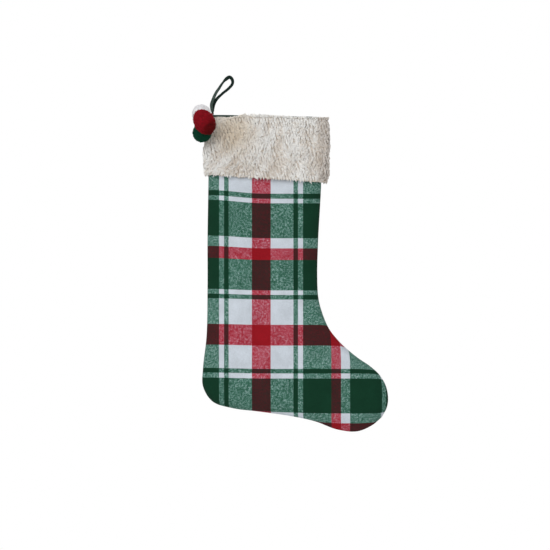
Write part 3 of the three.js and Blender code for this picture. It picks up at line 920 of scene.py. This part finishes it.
POMPOM_RADIUS = {"white": 14.35, "red": 15.8, "green": 14.3}
TIES = {
    "white": [[5.5, -4.6, 493.2], [2, -9.8, 493.1]],
    "red": [
        [7.4, -5, 492.8], [7.7, -13.4, 492.4], [6.9, -22, 490.3], [5.4, -30.7, 487.1], [3.1, -38.8, 483.9],
    ],
    "green": [
        [1, -1.5, 493.1], [-4.5, -1.2, 492.7], [-9, -1.5, 487.5], [-10.4, -3.5, 481.5], [-10, -8.5, 475.8],
    ],
}  # fmt: skip
TIE_WIDTH = 1.3
TUFTS = 3400
TUFT_DEEP = 2.2  # how far under the ball's surface its tufts begin
EGG = {"white": 0.0, "red": 0.27, "green": 0.0}  # how much longer than wide each ball is
EGG_AXIS = np.array([0.53, 0.0, -0.848])
PARTING = {"red": ([4.9, -15, -5.7], [13.5, -11, -2.5])}  # where a ball's yarn parts, from one way to another
PARTING_DEEP = 1.5
PARTING_WIDE = 0.17  # as a share of the ball's radius


def pompom_centre(colour):
    """The middle of the pompom's CAD solid, on the pattern."""
    low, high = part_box("pompom_" + colour)
    return np.array((low + high) / 2) / MM + HOOK


CENTRES = {colour: pompom_centre(colour) for colour in POMPOM_RADIUS}


def pressed(colour, points):
    """The ball's points with its egg shape, flattened where it presses on its neighbours."""
    centre = CENTRES[colour]
    away = points - centre
    away = away + EGG[colour] * (away @ EGG_AXIS)[:, None] * EGG_AXIS
    radius = POMPOM_RADIUS[colour]
    for other, other_centre in CENTRES.items():
        if other == colour:
            continue
        apart = other_centre - centre
        gap = np.linalg.norm(apart)
        limit = (gap**2 + radius**2 - POMPOM_RADIUS[other] ** 2) / (2 * gap) - 0.15
        beyond = np.maximum(away @ (apart / gap) - limit, 0)
        away = away - beyond[:, None] * (apart / gap)
    return centre + away


def parted(colour, direction):
    """How much lower the ball's yarn stands along its parting, in each of the directions."""
    if colour not in PARTING:
        return 0.0
    first, last = (np.array(way, float) for way in PARTING[colour])
    ways = unit(first + (last - first) * np.linspace(0, 1, 9)[:, None])
    near = np.linalg.norm(direction[:, None] - ways, axis=2)
    return PARTING_DEEP * np.exp(-((near / PARTING_WIDE) ** 2)).max(axis=1)


def pompom(colour, seed):
    """A trimmed ball of cut yarn: a matted core, and the blunt ends of the yarns standing out of it."""
    rng = np.random.default_rng(seed)
    centre, radius = CENTRES[colour], POMPOM_RADIUS[colour]
    ball = bmesh.new()
    bmesh.ops.create_icosphere(ball, subdivisions=5, radius=1)
    ways = np.array([v.co for v in ball.verts])
    faces = [[v.index for v in f.verts] for f in ball.faces]
    ball.free()
    matted = 0.25 * noise_field(ways * radius, (2.2, 2.2, 2.2), seed)
    core = pressed(colour, centre + ways * (radius - 0.7 + matted - parted(colour, ways))[:, None])
    body = colour + "_pompom"
    make_piece(f"{colour}_core", core, faces, YARNS[colour], body, ["pompom_" + colour])

    # The tufts start on a spiral that spreads them evenly over the ball.
    k = np.arange(TUFTS) + 0.5
    height = 1 - 2 * k / TUFTS
    turn = k * math.pi * (3 - math.sqrt(5))
    flat = np.sqrt(1 - height**2)
    spiral = np.stack([flat * np.cos(turn), flat * np.sin(turn), height], 1)
    direction = unit(spiral + rng.normal(0, 0.012, (TUFTS, 3)))
    lumpy = 0.25 * noise_field(direction * radius, (7, 7, 7), seed + 3)
    tip = radius + lumpy + rng.uniform(-0.22, 0.12, TUFTS) - parted(colour, direction)
    lean = rng.normal(0, 0.035, (TUFTS, 3))
    steps = np.array([0.0, 0.45, 0.8, 1.0])
    reach = (radius - TUFT_DEEP) + (tip - radius + TUFT_DEEP)[:, None] * steps
    paths = (direction[:, None] + lean[:, None] * steps[:, None]) * reach[..., None] + centre
    paths = np.stack([pressed(colour, paths[:, i]) for i in range(4)], 1)
    thick = rng.uniform(0.4, 0.56, TUFTS) * radius / 14.6
    radii = thick[:, None] * np.array([0.7, 1.0, 0.95, 0.42])
    up = np.cross(direction, rng.normal(0, 1, (TUFTS, 3)))
    points, faces = many_tubes(paths, radii, up, 5)
    make_piece(f"{colour}_tufts", points, faces, YARNS[colour], body)


def tie(colour):
    """Three plies of yarn twisted together, from the tack on the rim to the middle of the pompom."""
    route = np.array(TIES[colour], float)
    centre = CENTRES[colour]
    last = route[-1] - centre
    outside = np.linalg.norm(last)
    inner = [centre + unit(last) * (outside + (0.6 - outside) * k / 4) for k in range(1, 5)]
    line = even_line(np.vstack([route, inner]), 0.35)
    points, faces, uv = swept(line, ribbed(TIE_WIDTH, TIE_WIDTH, 3, 2.2, 0.16, 18), (0.2, 0.1, 0.97))
    body, slot = colour + "_tie", colour + "_yarn"
    stands_for = ["tie_" + colour]
    piece = make_piece(f"{colour}_tie_yarn", points, faces, YARNS[colour], body, stands_for, uv)


# --- floor, light, camera


VIEW_CENTRE = Vector((0.0702, 0, -0.3034))
VIEW_WIDTH = 0.8493  # metres across the frame at the stocking
CAMERA_AWAY = 6.0
SENSOR = 36.0
STUDIO_LIGHT = 0.52  # how strongly the white studio lights the object
LIGHTS = {
    "key": ((-1.1, -2.4, 1.1), 2.4, 57),
    "fill": ((1.8, -2.4, 0.1), 1.8, 12),
    "back": ((0.7, 2.6, 0.6), 1.8, 34),
}  # where each lamp stands, its size in metres and its power in watts


def floor():
    """A pale round floor, well below the hanging stocking."""
    bpy.ops.mesh.primitive_circle_add(vertices=96, radius=1.2, fill_type="NGON", location=(0.08, 0, -0.95))
    disc = bpy.context.object
    disc.name = "floor"
    shader = Shader("pale_floor", roughness=0.7)
    tone = shader.noise(shader.place(), 6, 2)
    disc.data.materials.append(shader.colour(shader.mix(tone, (0.86, 0.86, 0.85), (0.9, 0.9, 0.89))))


def area_light(name, place, size, power):
    """A square lamp that faces the stocking."""
    data = bpy.data.lights.new(name, "AREA")
    data.energy = power
    data.size = size
    lamp = new_object(name, data)
    lamp.location = place
    lamp.rotation_euler = (VIEW_CENTRE - Vector(place)).to_track_quat("-Z", "Y").to_euler()


def surroundings():
    """A white studio: what the camera sees of it is pure white, and it lights the object more gently."""
    world = bpy.data.worlds.new("studio")
    world.use_nodes = True
    bpy.context.scene.world = world
    tree = world.node_tree
    seen = tree.nodes.new("ShaderNodeLightPath").outputs["Is Camera Ray"]
    strength = tree.nodes.new("ShaderNodeMath")
    strength.operation = "MULTIPLY_ADD"
    tree.links.new(seen, strength.inputs[0])
    strength.inputs[1].default_value = 1 - STUDIO_LIGHT
    strength.inputs[2].default_value = STUDIO_LIGHT
    background = tree.nodes["Background"]
    background.inputs["Color"].default_value = (1, 1, 1, 1)
    tree.links.new(strength.outputs[0], background.inputs["Strength"])


def camera():
    """Straight in front of the stocking, from so far away that it is seen almost without perspective."""
    data = bpy.data.cameras.new("camera")
    data.sensor_width = SENSOR
    data.lens = SENSOR * CAMERA_AWAY / VIEW_WIDTH
    data.clip_end = 50
    eye = new_object("camera", data)
    eye.location = VIEW_CENTRE - Vector((0, CAMERA_AWAY, 0))
    eye.rotation_euler = (math.pi / 2, 0, 0)
    bpy.context.scene.camera = eye


# --- the scene


camera()
surroundings()
floor()
for lamp, (place, size, power) in LIGHTS.items():
    area_light(lamp, place, size, power)
bpy.context.scene.view_settings.view_transform = "Standard"

lining_inner = LINING_OUT + LINING_THICK
for side, back in (("front", False), ("back", True)):
    cloth_panel(f"{side}_shell", PLAID, back, 0.0, SHELL_THICK, f"{side}_panel")
    cloth_panel(f"{side}_lining", LINING, back, LINING_OUT, lining_inner, f"lining_{side}")
    cuff_backing(f"{side}_cuff_backing", f"cuff_{side}", back)
    for layer in range(PILE_LAYERS):
        pile(f"{side}_cuff_pile_{layer}", back, 100 + 10 * back + layer)
mouth_binding()
binding_stitches()
hanging_loop()
loop_knot()
loop_tail()
for seed, colour in enumerate(POMPOM_RADIUS):
    pompom(colour, 200 + seed)
    tie(colour)

THREAD_NODES = [
    "shell_seam_thread", "lining_seam_thread", "cuff_seam_thread_heel", "cuff_seam_thread_toe", "pompom_tack",
]  # fmt: skip
for node in THREAD_NODES:
    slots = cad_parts[node].data.materials
    slots.clear()
    slots.append(THREAD)
